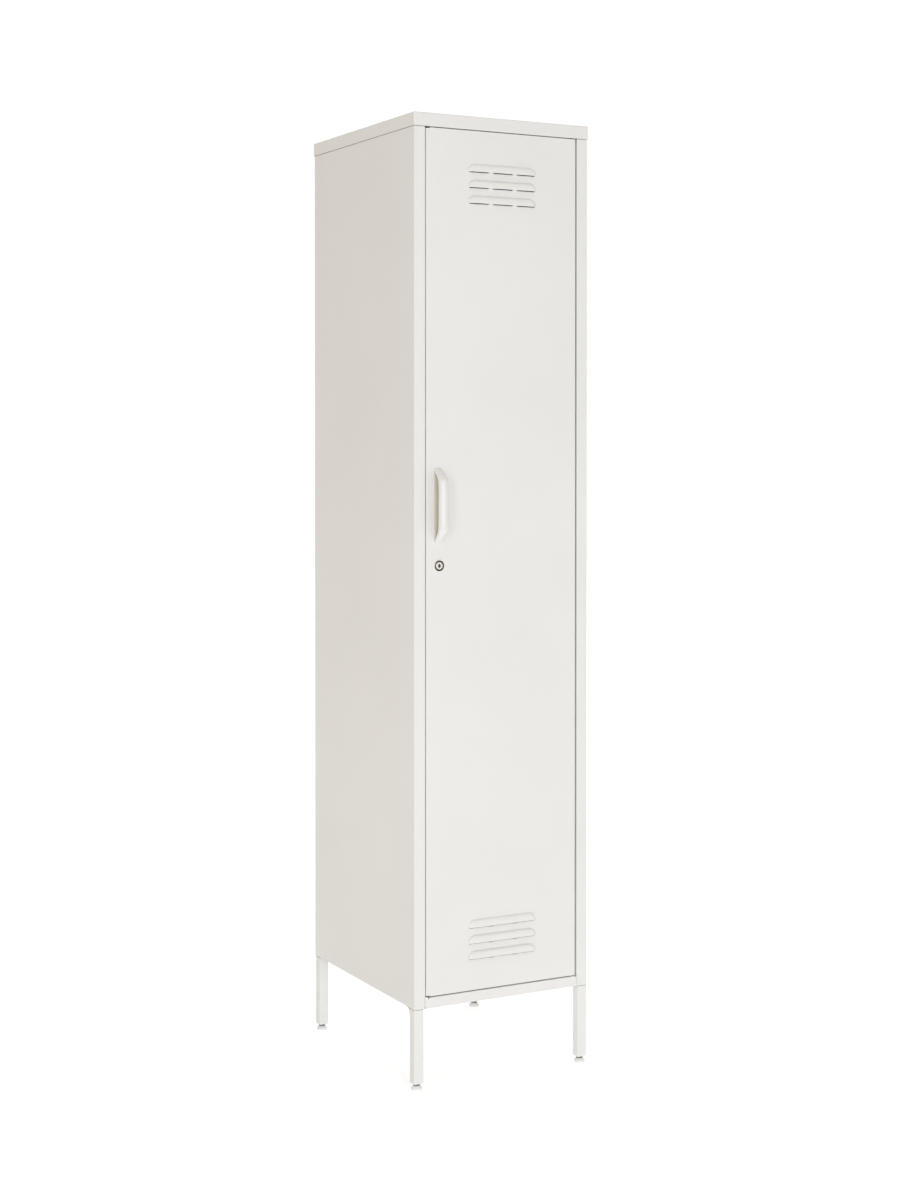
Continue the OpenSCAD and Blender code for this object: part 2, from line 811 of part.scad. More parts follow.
// A long plate with bulging sides, standing on the door's face
module plate_shape() {
    bulge = (handle_w - handle_plate_end_w) / 2;
    r = (pow(handle_plate_h / 2, 2) + pow(bulge, 2)) / (2 * bulge);
    intersection() {
        intersection_for (s = [-1, 1]) translate([s * (r - handle_w / 2), 0, 0])
            rotate([90, 0, 0]) cylinder(r = r, h = handle_plate_t, $fn = 360);
        span([-handle_w, -handle_plate_t, -handle_plate_h / 2], [handle_w, 0, handle_plate_h / 2]);
    }
}

// What shows as the floor of the handle's hollow
module handle_plate() {
    color(shadow_plastic) translate([-handle_x, y_face, handle_z]) difference() {
        plate_shape();
        handle_screw_bores();
    }
}

module handle_screws() {
    handle_screw_places() translate([0, sheet, 0]) to_rear() screw(handle_screw_r, 4, 2.2, 5.2);
}

// ---- Lock ----

module at_lock() {
    translate([-lock_x, y_face, lock_z]) to_rear() children();
}

module lock_housing() {
    color(chrome) at_lock() difference() {
        union() {
            translate([0, 0, -head_t]) cylinder(r1 = head_r - 0.8, r2 = head_r, h = 0.8);
            translate([0, 0, -head_t + 0.8]) cylinder(r = head_r, h = head_t - 0.8);
            translate([0, 0, -eps]) cylinder(r = barrel_r, h = barrel_l);
        }
        translate([0, 0, -head_t - over]) cylinder(r = plug_r + touch, h = barrel_l + 10);
    }
}

module lock_nut() {
    color(steel) at_lock() translate([0, 0, sheet]) difference() {
        cylinder(r = lock_nut_r, h = lock_nut_h, $fn = 6);
        translate([0, 0, -over]) cylinder(r = barrel_r, h = lock_nut_h + 2 * over);
    }
}

module lock_plug() {
    plug_front = -head_t + 0.6;
    plug_rear = cam_y - y_face;
    keyway = [2.4, 8, 15];
    color(chrome) at_lock() difference() {
        translate([0, 0, plug_front]) cylinder(r = plug_r, h = plug_rear - plug_front);
        translate([-keyway[0] / 2, -keyway[1] / 2, plug_front - over]) cube(keyway);
        translate([0, -1, plug_front - over]) cube([3.4, 2, keyway[2]]);
        translate([0, 0, plug_rear - 8]) cylinder(r = cam_bolt_r, h = 10);
    }
}

module lock_cam() {
    color(steel) at_lock() translate([0, 0, cam_y - y_face]) difference() {
        union() {
            cylinder(r = cam_w / 2 + 1.5, h = cam_t);
            translate([-cam_w / 2, 0, 0]) cube([cam_w, cam_l - cam_tip_r, cam_t]);
            for (x = [-1, 1]) translate([x * (cam_w / 2 - cam_tip_r), cam_l - cam_tip_r, 0])
                cylinder(r = cam_tip_r, h = cam_t);
            translate([cam_tip_r - cam_w / 2, 0, 0]) cube([cam_w - 2 * cam_tip_r, cam_l, cam_t]);
        }
        translate([0, 0, -over]) cylinder(r = cam_bolt_r, h = cam_t + 2 * over);
    }
}

module cam_screw() {
    at_lock() translate([0, 0, cam_y - y_face + cam_t]) screw(cam_bolt_r, 5, 2.6, 9);
}

// ---- Hinge ----

module at_pivot(z) {
    translate([pivot_x, pivot_y, z]) children();
}

// The pin that stands on the base panel and carries the door
module bottom_hinge_pin() {
    color(steel) {
        at_pivot(z_floor) cylinder(r = pin_collar_r, h = bottom_gap - bush_lip - 2 * touch);
        at_pivot(z_floor - sheet - 2) cylinder(r = pin_r, h = 12.8);
        at_pivot(z_floor - sheet - 2) cylinder(r = pin_collar_r, h = 2);
    }
}

// A lipped bush that is pushed up through a sheet whose underside is at height z
module hinge_bush(z, length) {
    color(dark_plastic) at_pivot(z) difference() {
        union() {
            translate([0, 0, -bush_lip]) cylinder(r = bush_lip_r, h = bush_lip);
            translate([0, 0, -eps]) cylinder(r = bush_r, h = length);
        }
        translate([0, 0, -bush_lip - over]) cylinder(r = pin_r + touch, h = length + 2 * over);
    }
}

// A bracket inside the door that guides the top pin and holds its spring
module top_hinge_bracket() {
    x1 = door_x1 - sheet;
    z0 = door_z1 - bracket_drop;
    color(steel) difference() {
        union() {
            span([x1 - bracket_t, y_face + 2.4, z0 - bracket_flange], [x1, y_face + 15, z0 + bracket_t]);
            span([x1 - 14, y_face + 1.4, z0], [x1, y_face + 15, z0 + bracket_t]);
        }
        at_pivot(z0 - 1) cylinder(r = pin_r + touch, h = 4);
    }
}

module top_hinge_pin() {
    z_collar = door_z1 - sheet - touch - collar_h;
    z_low = door_z1 - bracket_drop - 14;
    tip = 1;
    arm_r = 2.2;
    arm_l = 16;
    color(steel) {
        at_pivot(z_low) cylinder(r = pin_r, h = door_z1 + pin_up - z_low - tip);
        at_pivot(door_z1 + pin_up - tip - eps) cylinder(r1 = pin_r, r2 = pin_r - tip, h = tip);
        at_pivot(z_collar) cylinder(r = collar_r, h = collar_h);
        at_pivot(z_low + 3) rotate([0, -90, 0]) cylinder(r = arm_r, h = arm_l);
    }
}

// Points of the ring of wire at turn t of the spring
function coil_ring(t, length) = let (
    a = 360 * t,
    out = [cos(a), sin(a), 0],
    mid = spring_r * out + [0, 0, length * t / spring_turns]
) [for (k = [0 : 5]) mid + wire_r * (cos(60 * k) * out + [0, 0, sin(60 * k)])];

module top_pin_spring() {
    z0 = door_z1 - bracket_drop + bracket_t + wire_r + touch;
    z1 = door_z1 - sheet - collar_h - wire_r - 3 * touch;
    steps = 18 * spring_turns;
    rings = [for (i = [0 : steps]) each coil_ring(i / 18, z1 - z0)];
    walls = [for (i = [0 : steps - 1], k = [0 : 5]) let (a = 6 * i + k, b = 6 * i + (k + 1) % 6)
        [a, b, b + 6, a + 6]];
    ends = [[for (k = [5 : -1 : 0]) k], [for (k = [0 : 5]) 6 * steps + k]];
    color(steel) at_pivot(z0) polyhedron(points = rings, faces = concat(
        [for (w = walls) [w[0], w[1], w[2]]], [for (w = walls) [w[0], w[2], w[3]]], ends));
}

// ---- What keeps the door shut ----

module door_magnets() {
    y = y_face + front_jamb - sheet;
    h = 40;
    for (z = [door_z0 + 90, door_z1 - 90 - h])
        color(dark_plastic) span([-open_w + bend_r, y - stop_t, z], [-open_w + lip_w - 0.4, y, z + h]);
}

module door_bumpers() {
    for (z = [door_z0 + 480, door_z1 - 480])
        color(white_plastic) translate([-open_w + lip_w / 2 + 0.5, y_face + front_jamb - sheet, z])
            rotate([90, 0, 0]) cylinder(r1 = 3.4, r2 = 2.8, h = stop_t);
}

// ---- Assembly ----

top_cap();
on_side(-1) side_panel();  // left_side_panel
on_side(1) side_panel();  // right_side_panel
back_panel();
base_panel();
shelf(top_slot);  // top_shelf
shelf(middle_slot);  // middle_shelf
shelf(lower_slot);  // lower_shelf
shelf_clips(top_slot);  // top_shelf_clips
shelf_clips(middle_slot);  // middle_shelf_clips
shelf_clips(lower_slot);  // lower_shelf_clips
coat_rail();
rail_brackets();
rail_end_caps();
rail_bracket_screws();
corner(-1, -1) leg();  // front_left_leg
corner(1, -1) leg();  // front_right_leg
corner(-1, 1) leg();  // rear_left_leg
corner(1, 1) leg();  // rear_right_leg
corner(-1, -1) leg_plug();  // front_left_leg_plug
corner(1, -1) leg_plug();  // front_right_leg_plug
corner(-1, 1) leg_plug();  // rear_left_leg_plug
corner(1, 1) leg_plug();  // rear_right_leg_plug
corner(-1, -1) foot_stud();  // front_left_foot_stud
corner(1, -1) foot_stud();  // front_right_foot_stud
corner(-1, 1) foot_stud();  // rear_left_foot_stud
corner(1, 1) foot_stud();  // rear_right_foot_stud
corner(-1, -1) foot_pad();  // front_left_foot_pad
corner(1, -1) foot_pad();  // front_right_foot_pad
corner(-1, 1) foot_pad();  // rear_left_foot_pad
corner(1, 1) foot_pad();  // rear_right_foot_pad
leg_bolts();
leg_nuts();
back_panel_screws();
cap_screws();
door_magnets();
door_bumpers();
hinge_bush(z_soffit, 7);  // top_hinge_bush
bottom_hinge_pin();
door_panel();
door_stiffener();
handle();
handle_plate();
handle_screws();
lock_housing();
lock_nut();
lock_plug();
lock_cam();
cam_screw();
top_hinge_bracket();
top_hinge_pin();
top_pin_spring();
hinge_bush(door_z0, 9);  // bottom_hinge_bush
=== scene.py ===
"""A tall steel locker on legs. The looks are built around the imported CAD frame, in metres."""
import json
import math
import bpy
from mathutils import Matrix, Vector


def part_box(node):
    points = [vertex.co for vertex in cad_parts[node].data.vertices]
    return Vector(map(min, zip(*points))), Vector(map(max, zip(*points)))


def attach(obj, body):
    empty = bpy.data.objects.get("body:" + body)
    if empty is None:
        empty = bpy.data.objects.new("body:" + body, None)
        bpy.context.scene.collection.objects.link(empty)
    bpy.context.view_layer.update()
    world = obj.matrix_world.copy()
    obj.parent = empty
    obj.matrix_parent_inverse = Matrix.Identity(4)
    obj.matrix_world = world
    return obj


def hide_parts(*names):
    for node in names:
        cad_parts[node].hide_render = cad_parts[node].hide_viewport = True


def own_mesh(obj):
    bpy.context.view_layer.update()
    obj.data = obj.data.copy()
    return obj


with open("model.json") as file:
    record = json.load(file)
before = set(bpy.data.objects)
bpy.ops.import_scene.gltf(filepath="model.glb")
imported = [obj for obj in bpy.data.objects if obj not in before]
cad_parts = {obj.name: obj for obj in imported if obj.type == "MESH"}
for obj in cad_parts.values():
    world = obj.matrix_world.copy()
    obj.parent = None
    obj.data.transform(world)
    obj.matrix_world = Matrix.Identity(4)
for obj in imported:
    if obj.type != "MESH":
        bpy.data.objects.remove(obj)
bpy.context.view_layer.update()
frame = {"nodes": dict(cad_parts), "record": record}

SCENE = bpy.context.scene
SCENE.view_settings.view_transform = "Standard"

MM = 1000      # millimetres in a metre
WHITE = (1.0, 1.0, 1.0, 1.0)

CAP_LOW, CAP_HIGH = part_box("top_cap")
CAP_MIDDLE = (CAP_LOW + CAP_HIGH) / 2
BODY_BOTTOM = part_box("left_side_panel")[0].z
DOOR_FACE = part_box("left_side_panel")[0].y
DOOR_LOW, DOOR_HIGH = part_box("door_panel")
DOOR_MIDDLE = (DOOR_LOW.x + DOOR_HIGH.x) / 2
LOCK_CENTRE = sum(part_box("lock_nut"), Vector()) / 2
LOCK_CENTRE.y = DOOR_FACE


# ---- Camera ----

CAMERA_YAW = math.radians(27.99)
CAMERA_PITCH = math.radians(-0.644)
CAMERA_FROM_BODY = Vector((-1.8508, -3.4954, 1.2124))  # from the floor under the cap's middle
CAMERA_LENS = 59.06
CAMERA_SENSOR = 36.0
CAMERA_SHIFT_Y = -0.1124


def add_camera():
    data = bpy.data.cameras.new("camera")
    data.sensor_fit = "VERTICAL"
    data.sensor_height = CAMERA_SENSOR
    data.lens = CAMERA_LENS
    data.shift_y = CAMERA_SHIFT_Y
    camera = bpy.data.objects.new("camera", data)
    camera.location = Vector((CAP_MIDDLE.x, CAP_MIDDLE.y, 0.0)) + CAMERA_FROM_BODY
    camera.rotation_euler = (math.pi / 2 + CAMERA_PITCH, 0.0, -CAMERA_YAW)
    SCENE.collection.objects.link(camera)
    SCENE.camera = camera


# ---- Studio ----

ALONG = (math.sin(CAMERA_YAW), math.cos(CAMERA_YAW), 0.0)   # level, from the front left to the back right

WORLD_BEHIND = 1.05
WORLD_BEHIND_TINT = (1.0, 1.0, 0.995, 1.0)
WORLD_FRONT = 0.33
WORLD_FRONT_TINT = (1.0, 0.89, 0.71, 1.0)
WORLD_CHANGE = (0.3, 0.8)      # the front turns into the part behind between these directions
OVERHEAD_STRENGTH = 0.50
OVERHEAD_START = 0.25          # the upward direction where light from above begins

SOFTBOXES = {   # place, aim, size, power and colour
    "front_low": ((-0.8, -4.2, 0.75), (0, 0, 0.5), (1.8, 1.3), 32.0, (0.82, 0.885, 1.0)),
    "front_high": ((-0.8, -4.2, 2.2), (0, 0, 1.2), (1.8, 1.3), 32.0, (0.84, 0.90, 1.0)),
    "left_key": ((-3.3, -2.9, 1.5), (0, 0, 0.8), (1.0, 2.4), 25.0, (1.0, 0.965, 0.91)),
}

FLOOR_HALF = 14.0
FLOOR_COLOUR = (0.8, 0.8, 0.795, 1.0)
FLOOR_GLOW = [(-1.9, 0.15), (-0.9, 0.44), (0.2, 0.44), (1.2, 0.66)]   # distance along, and strength
FLOOR_GLOW_TINT = (0.93, 0.96, 1.0)
FLOOR_REACH = 2.0              # the glow's distances lie within this one


def add_node(tree, kind, **settings):
    node = tree.nodes.new(kind)
    for key, value in settings.items():
        setattr(node, key, value)
    return node


def run_along(tree, place):
    """How far a place or a direction reaches along the studio."""
    node = add_node(tree, "ShaderNodeVectorMath", operation="DOT_PRODUCT")
    node.inputs[1].default_value = ALONG
    tree.links.new(place, node.inputs[0])
    return node.outputs["Value"]


def map_range(tree, source, start, end, **settings):
    """Turns source, which runs over start, into a number that runs over end."""
    node = add_node(tree, "ShaderNodeMapRange", **settings)
    for socket, value in zip(("From Min", "From Max", "To Min", "To Max"), (*start, *end)):
        node.inputs[socket].default_value = value
    tree.links.new(source, node.inputs["Value"])
    return node.outputs["Result"]


def add_softbox(name, place, aim, size, power, colour):
    data = bpy.data.lights.new(name, "AREA")
    data.shape = "RECTANGLE"
    data.size, data.size_y = size
    data.energy = power
    data.color = colour
    light = bpy.data.objects.new(name, data)
    light.location = place
    light.rotation_euler = (Vector(aim) - Vector(place)).to_track_quat("-Z", "Y").to_euler()
    SCENE.collection.objects.link(light)


def add_world():
    """Brightest behind the locker, dimmer and warmer in front of it, and brighter again above."""
    world = bpy.data.worlds.new("studio")
    world.use_nodes = True
    SCENE.world = world
    tree = world.node_tree
    direction = add_node(tree, "ShaderNodeTexCoord").outputs["Generated"]
    level = map_range(tree, run_along(tree, direction), WORLD_CHANGE, (WORLD_FRONT, WORLD_BEHIND),
                      interpolation_type="SMOOTHSTEP")
    split = add_node(tree, "ShaderNodeSeparateXYZ")
    tree.links.new(direction, split.inputs[0])
    overhead = map_range(tree, split.outputs["Z"], (OVERHEAD_START, 1.0), (0.0, OVERHEAD_STRENGTH))
    total = add_node(tree, "ShaderNodeMath", operation="ADD")
    tree.links.new(level, total.inputs[0])
    tree.links.new(overhead, total.inputs[1])
    tint = add_node(tree, "ShaderNodeMix", data_type="RGBA")
    tint.inputs[6].default_value = WORLD_FRONT_TINT
    tint.inputs[7].default_value = WORLD_BEHIND_TINT
    tree.links.new(level, tint.inputs[0])
    background = tree.nodes["Background"]
    tree.links.new(total.outputs[0], background.inputs["Strength"])
    tree.links.new(tint.outputs[2], background.inputs["Color"])


def floor_material():
    """A pale matt floor with some light of its own, so that it stays white all round the locker."""
    material = bpy.data.materials.new("floor")
    material.use_nodes = True
    tree = material.node_tree
    shader = tree.nodes["Principled BSDF"]
    shader.inputs["Base Color"].default_value = FLOOR_COLOUR
    shader.inputs["Roughness"].default_value = 0.9
    shader.inputs["Specular IOR Level"].default_value = 0.1
    shader.inputs["Emission Strength"].default_value = 1.0
    place = add_node(tree, "ShaderNodeTexCoord").outputs["Object"]
    reach = map_range(tree, run_along(tree, place), (-FLOOR_REACH, FLOOR_REACH), (0.0, 1.0))
    glow = add_node(tree, "ShaderNodeValToRGB")
    stops = glow.color_ramp.elements
    positions = [0.5 + distance / (2 * FLOOR_REACH) for distance, _ in FLOOR_GLOW]
    stops[1].position = positions[-1]
    for position in positions[1:-1]:
        stops.new(position)
    for stop, position, (_, strength) in zip(stops, positions, FLOOR_GLOW):
        stop.position = position
        stop.color = (*(strength * part for part in FLOOR_GLOW_TINT), 1.0)
    tree.links.new(reach, glow.inputs["Fac"])
    tree.links.new(glow.outputs["Color"], shader.inputs["Emission Color"])
    return material


def add_floor():
    mesh = bpy.data.meshes.new("floor")
    corners = [(x * FLOOR_HALF, y * FLOOR_HALF, 0) for x, y in ((-1, -1), (1, -1), (1, 1), (-1, 1))]
    mesh.from_pydata(corners, [], [(0, 1, 2, 3)])
    mesh.materials.append(floor_material())
    floor = bpy.data.objects.new("floor", mesh)
    SCENE.collection.objects.link(floor)


def add_studio():
    add_world()
    add_floor()
    for name, settings in SOFTBOXES.items():
        add_softbox(name, *settings)


# ---- Materials ----

PEEL_DEPTH, GRIT_DEPTH, WAVE_DEPTH = 0.00010, 0.00003, 0.0009     # relief of the powder coat
SCRATCH_DEPTH = 0.00002
MOULD_DEPTH = 0.00003

GROOVE_RADII = (0.0070, 0.0101)    # inner and outer edge of the groove in the lock's head
GROOVE_FADE = 0.12                 # share of it over which the painted shade begins and ends
# colour of the painted shade in the lock head's groove
GROOVE_PAINTED_SHADE = (0.115, 0.088, 0.066, 1.0)


class Nodes:
    """A new material's node tree, with the principled shader at its end."""

    def __init__(self, name):
        self.material = bpy.data.materials.new(name)
        self.material.use_nodes = True
        self.tree = self.material.node_tree
        self.shader = self.tree.nodes["Principled BSDF"]
        self.place = self.add("ShaderNodeTexCoord").outputs["Object"]

    def add(self, kind, **settings):
        return add_node(self.tree, kind, **settings)

    def link(self, source, target):
        self.tree.links.new(source, target)

    def paint(self, colour):
        self.link(colour, self.shader.inputs["Base Color"])

    def roughen(self, roughness):
        self.link(roughness, self.shader.inputs["Roughness"])

    def set(self, **values):
        for key, value in values.items():
            self.shader.inputs[key.replace("_", " ")].default_value = value

    def noise(self, scale, detail=2.0, roughness=0.5):
        node = self.add("ShaderNodeTexNoise")
        node.inputs["Scale"].default_value = scale
        node.inputs["Detail"].default_value = detail
        node.inputs["Roughness"].default_value = roughness
        self.link(self.place, node.inputs["Vector"])
        return node.outputs["Fac"]

    def ramp(self, source, low, high, at=(0.3, 0.7)):
        """Colours or greys between low and high where source runs over at."""
        node = self.add("ShaderNodeValToRGB")
        for element, position, colour in zip(node.color_ramp.elements, at, (low, high)):
            if not hasattr(colour, "__len__"):
                colour = (colour, colour, colour)
            element.position = position
            element.color = (*colour, 1.0)
        self.link(source, node.inputs["Fac"])
        return node.outputs["Color"]

    def mix(self, factor, first, second, blend_type="MIX"):
        """Turns first into second by factor. Each is a socket or a value."""
        node = self.add("ShaderNodeMix", data_type="RGBA", blend_type=blend_type)
        for index, value in ((0, factor), (6, first), (7, second)):
            if isinstance(value, bpy.types.NodeSocket):
                self.link(value, node.inputs[index])
            else:
                node.inputs[index].default_value = value
        return node.outputs[2]

    def combine(self, operation, first, second):
        if first is None:
            return second
        node = self.add("ShaderNodeMath", operation=operation)
        self.link(first, node.inputs[0])
        self.link(second, node.inputs[1])
        return node.outputs[0]

    def inside(self, boxes):
        """One inside any of the boxes and zero outside. A box has (low, high) for the axes that bound it."""
        axes = self.add("ShaderNodeSeparateXYZ")
        self.link(self.place, axes.inputs[0])
        mask = None
        for box in boxes:
            within = None
            for axis, limits in box.items():
                for kind, limit in zip(("GREATER_THAN", "LESS_THAN"), limits):
                    test = self.add("ShaderNodeMath", operation=kind)
                    test.inputs[1].default_value = limit
                    self.link(axes.outputs[axis], test.inputs[0])
                    within = self.combine("MULTIPLY", within, test.outputs[0])
            mask = self.combine("MAXIMUM", mask, within)
        return mask

    def radius_about(self, centre):
        """Distance from the line along y through centre."""
        apart = self.add("ShaderNodeVectorMath", operation="SUBTRACT")
        apart.inputs[1].default_value = centre
        self.link(self.place, apart.inputs[0])
        flat = self.add("ShaderNodeVectorMath", operation="MULTIPLY")
        flat.inputs[1].default_value = (1.0, 0.0, 1.0)
        self.link(apart.outputs[0], flat.inputs[0])
        radius = self.add("ShaderNodeVectorMath", operation="LENGTH")
        self.link(flat.outputs[0], radius.inputs[0])
        return radius.outputs["Value"]

    def bump(self, *layers):
        """Stacks (height, depth in metres) layers of relief."""
        normal = None
        for height, depth in layers:
            node = self.add("ShaderNodeBump")
            node.inputs["Strength"].default_value = 1.0
            node.inputs["Distance"].default_value = depth
            self.link(height, node.inputs["Height"])
            if normal:
                self.link(normal, node.inputs["Normal"])
            normal = node.outputs["Normal"]
        self.link(normal, self.shader.inputs["Normal"])


def powder_coat(name, colour, roughness=0.46, painted_shade_lines=()):
    """Satin powder coat: orange-peel waves, fine grit and faint clouding. Painted shade darkens it inside the
    given boxes.
    """
    n = Nodes(name)
    shade = [c * 0.975 for c in colour]
    tint = n.ramp(n.noise(scale=3.2, detail=3.0), shade, colour, at=(0.35, 0.65))
    # painted shade: the paint turns dark inside these boxes
    if painted_shade_lines:
        tint = n.mix(n.inside(painted_shade_lines), tint, SEAM_SHADE_COLOUR)
    n.paint(tint)
    n.roughen(n.ramp(n.noise(scale=420.0), roughness - 0.06, roughness + 0.07))
    n.bump((n.noise(scale=260.0), PEEL_DEPTH), (n.noise(scale=900.0), GRIT_DEPTH),
           (n.noise(scale=6.0, detail=1.0), WAVE_DEPTH))
    n.set(Specular_IOR_Level=0.5)
    return n.material


def worn_metal(n, roughness):
    """The finish that plated parts share: uneven polish and fine scratches."""
    n.set(Metallic=1.0)
    polish = n.noise(scale=700.0, detail=3.0, roughness=0.6)
    n.roughen(n.ramp(polish, roughness * 0.75, roughness * 1.3))
    n.bump((n.noise(scale=900.0, detail=3.0, roughness=0.6), SCRATCH_DEPTH))


def plated(name, colour, roughness):
    """Bare or plated metal with faint tarnish."""
    n = Nodes(name)
    dark = [c * 0.86 for c in colour]
    n.paint(n.ramp(n.noise(scale=120.0, detail=4.0, roughness=0.6), dark, colour))
    worn_metal(n, roughness)
    return n.material


def chrome_with_painted_groove_shade(name, colour, roughness):
    """The lock's plated head, with painted shade darkening its groove."""
    n = Nodes(name)
    groove_shade = n.add("ShaderNodeValToRGB")
    stops = groove_shade.color_ramp.elements
    stops[0].position, stops[1].position = 0.0, 1.0
    for position in (GROOVE_FADE, 1.0 - GROOVE_FADE):
        stops.new(position).color = GROOVE_PAINTED_SHADE
    stops[0].color = stops[3].color = WHITE
    across = map_range(n.tree, n.radius_about(LOCK_CENTRE), GROOVE_RADII, (0.0, 1.0))
    n.link(across, groove_shade.inputs["Fac"])
    dark = [c * 0.8 for c in colour]
    tarnish = n.ramp(n.noise(scale=160.0, detail=4.0, roughness=0.6), dark, colour)
    # the groove's dark ring is painted shade, multiplied over the tarnish
    n.paint(n.mix(1.0, tarnish, groove_shade.outputs["Color"], "MULTIPLY"))
    worn_metal(n, roughness)
    return n.material


def moulded(name, colour, roughness=0.5):
    """Moulded plastic with a fine matt texture."""
    n = Nodes(name)
    pale = [min(1.0, c * 1.06) for c in colour]
    n.paint(n.ramp(n.noise(scale=40.0, detail=3.0), colour, pale))
    n.roughen(n.ramp(n.noise(scale=900.0), roughness - 0.08, roughness + 0.08))
    n.bump((n.noise(scale=1400.0), MOULD_DEPTH))
    return n.material


OFF_WHITE = (0.785, 0.772, 0.755)
# colour of the painted shade along seams and under louvre lips
SEAM_SHADE_COLOUR = (0.20, 0.17, 0.13, 1.0)

SEAM_SHADE_HEIGHT = 0.0010                   # height of the painted shade along the level seams
LEG_SHADE_RISE = 0.0002
# painted shade in a line just under the edge of the cap's skirt
CAP_SEAM_SHADE = {"Z": (CAP_LOW.z - SEAM_SHADE_HEIGHT, CAP_LOW.z)}
# painted shade in a line where the legs meet the body
LEG_SEAM_SHADE = {"Z": (BODY_BOTTOM - SEAM_SHADE_HEIGHT, BODY_BOTTOM + LEG_SHADE_RISE)}

RAIL_END = CAP_HIGH.x - 0.0232  # from the middle to where the rail meets the face beside the door
RAIL_SEAM_SHADE_HALF = 0.0002
FACE_DEPTH = 0.001              # either side of the front face
# painted shade in the upright seams where the rail's ends meet the faces beside the door
RAIL_SEAM_SHADES = [
    {
        "X": (end - RAIL_SEAM_SHADE_HALF, end + RAIL_SEAM_SHADE_HALF),
        "Y": (DOOR_FACE - FACE_DEPTH, DOOR_FACE + FACE_DEPTH),
        "Z": (0.0, DOOR_LOW.z),
    }
    for end in (-RAIL_END, RAIL_END)
]

LOUVRE_REACH = 0.0710
LOUVRE_FIRST = 0.0820           # from the body's bottom to the lowest louvre's lip
LOUVRE_PITCH = 0.0297
LOUVRE_SHADOW_HEIGHT = 0.0018
LOUVRE_LIPS = [BODY_BOTTOM + LOUVRE_FIRST + LOUVRE_PITCH * i for i in range(3)]
LOUVRE_LIP_SHADOWS = [                # painted shadow on the door under the lip of each low louvre
    {"X": (DOOR_MIDDLE - LOUVRE_REACH, DOOR_MIDDLE + LOUVRE_REACH), "Z": (lip - LOUVRE_SHADOW_HEIGHT, lip)}
    for lip in LOUVRE_LIPS
]

RECIPES = {
    "casing_paint": (powder_coat, {"colour": OFF_WHITE, "painted_shade_lines": [CAP_SEAM_SHADE] + RAIL_SEAM_SHADES}),
    "door_paint": (powder_coat, {"colour": OFF_WHITE, "painted_shade_lines": LOUVRE_LIP_SHADOWS}),
    "handle_paint": (powder_coat, {"colour": OFF_WHITE, "roughness": 0.2}),
    "shelf_paint": (powder_coat, {"colour": OFF_WHITE}),
    "leg_paint": (powder_coat, {"colour": OFF_WHITE, "roughness": 0.42, "painted_shade_lines": [LEG_SEAM_SHADE]}),
    "lock_chrome": (chrome_with_painted_groove_shade, {"colour": (0.90, 0.86, 0.80), "roughness": 0.30}),
    "lock_face": (plated, {"colour": (0.96, 0.94, 0.90), "roughness": 0.48}),
    "rail_chrome": (plated, {"colour": (0.78, 0.78, 0.77), "roughness": 0.12}),
    "zinc_steel": (plated, {"colour": (0.62, 0.62, 0.60), "roughness": 0.36}),
    # darker than the zinc parts: painted shade for the screws in the gap under the legs
    "stud_steel": (plated, {"colour": (0.26, 0.25, 0.24), "roughness": 0.26}),
    "spring_steel": (plated, {"colour": (0.45, 0.45, 0.45), "roughness": 0.28}),
    "white_plastic": (moulded, {"colour": (0.80, 0.80, 0.77)}),
    "foot_plastic": (moulded, {"colour": (0.82, 0.815, 0.80)}),
    "black_plastic": (moulded, {"colour": (0.016, 0.014, 0.012), "roughness": 0.7}),
    "clear_bumper": (moulded, {"colour": (0.70, 0.70, 0.66), "roughness": 0.35}),
    # darker, warmer beige than the paint: painted shade inside the pull's hollow
    "plate_plastic": (moulded, {"colour": (0.75, 0.695, 0.605), "roughness": 0.55}),
}


def finish_cad_nodes(materials):
    for part in frame["record"]["subparts"]:
        node = frame["nodes"][part["node"]]
        node.data.materials.clear()
        node.data.materials.append(materials[part["material_slot"]])


# ---- New pieces ----

def piece(name, verts, faces, slot, body, replaced, sharp=0.6, look=None):
    """A new smooth-shaded piece that rides a body and stands for CAD nodes. It may have a look of its own."""
    mesh = bpy.data.meshes.new(name)
    mesh.from_pydata(verts, [], faces)
    mesh.validate()
    mesh.shade_smooth()
    mesh.set_sharp_from_angle(angle=sharp)
    mesh.materials.append(MATERIALS[look or slot])
    obj = bpy.data.objects.new(name, mesh)
    SCENE.collection.objects.link(obj)
    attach(obj, body)
    if replaced:
        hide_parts(*replaced)
    return obj


def skin(rings, closed_ends=True):
    """Vertices and faces of a surface through closed rings of equal length, with or without end caps."""
    count = len(rings[0])
    verts = [v for ring in rings for v in ring]
    faces = []
    for i in range(len(rings) - 1):
        low, high = i * count, (i + 1) * count
        for k in range(count):
            nxt = (k + 1) % count
            faces.append((low + k, low + nxt, high + nxt, high + k))
    if closed_ends:
        faces.append(tuple(range(count))[::-1])
        faces.append(tuple(len(verts) - count + k for k in range(count)))
    return verts, faces


# The pull, in millimetres about the middle of its base
PULL_HALF = 70.0
PULL_STEPS = 110
PULL_OUT = 28.9
PULL_END_OUT = 3.5
PULL_SLOPE = 1.3
PULL_BLEND = 8.0        # how softly the slope turns into the straight part
PULL_LIFT = 0.6         # what that softness takes off the straight part
PULL_HALF_W = 9.9
PULL_SHIFT = 1.2        # of the straight part, to the right
PULL_END_HALF_W = 6.2
PULL_TAPER = 24.0       # length over which each end narrows
PULL_TAPER_POWER = 1.5
PULL_TIP = 1.5          # length of each rounded tip
PULL_TIP_OUT = 0.55     # share of the height left at the tip
PULL_TIP_NARROW = 1.2
PULL_CROWN = 9.0        # how deep the rounded front is
PULL_CROWN_SHARE = 0.75  # of the height, at most
PULL_ARC_STEPS = 20
PULL_WALL = 4.0
PULL_SIDE_WALL = 0.8    # share of the wall that the right side has
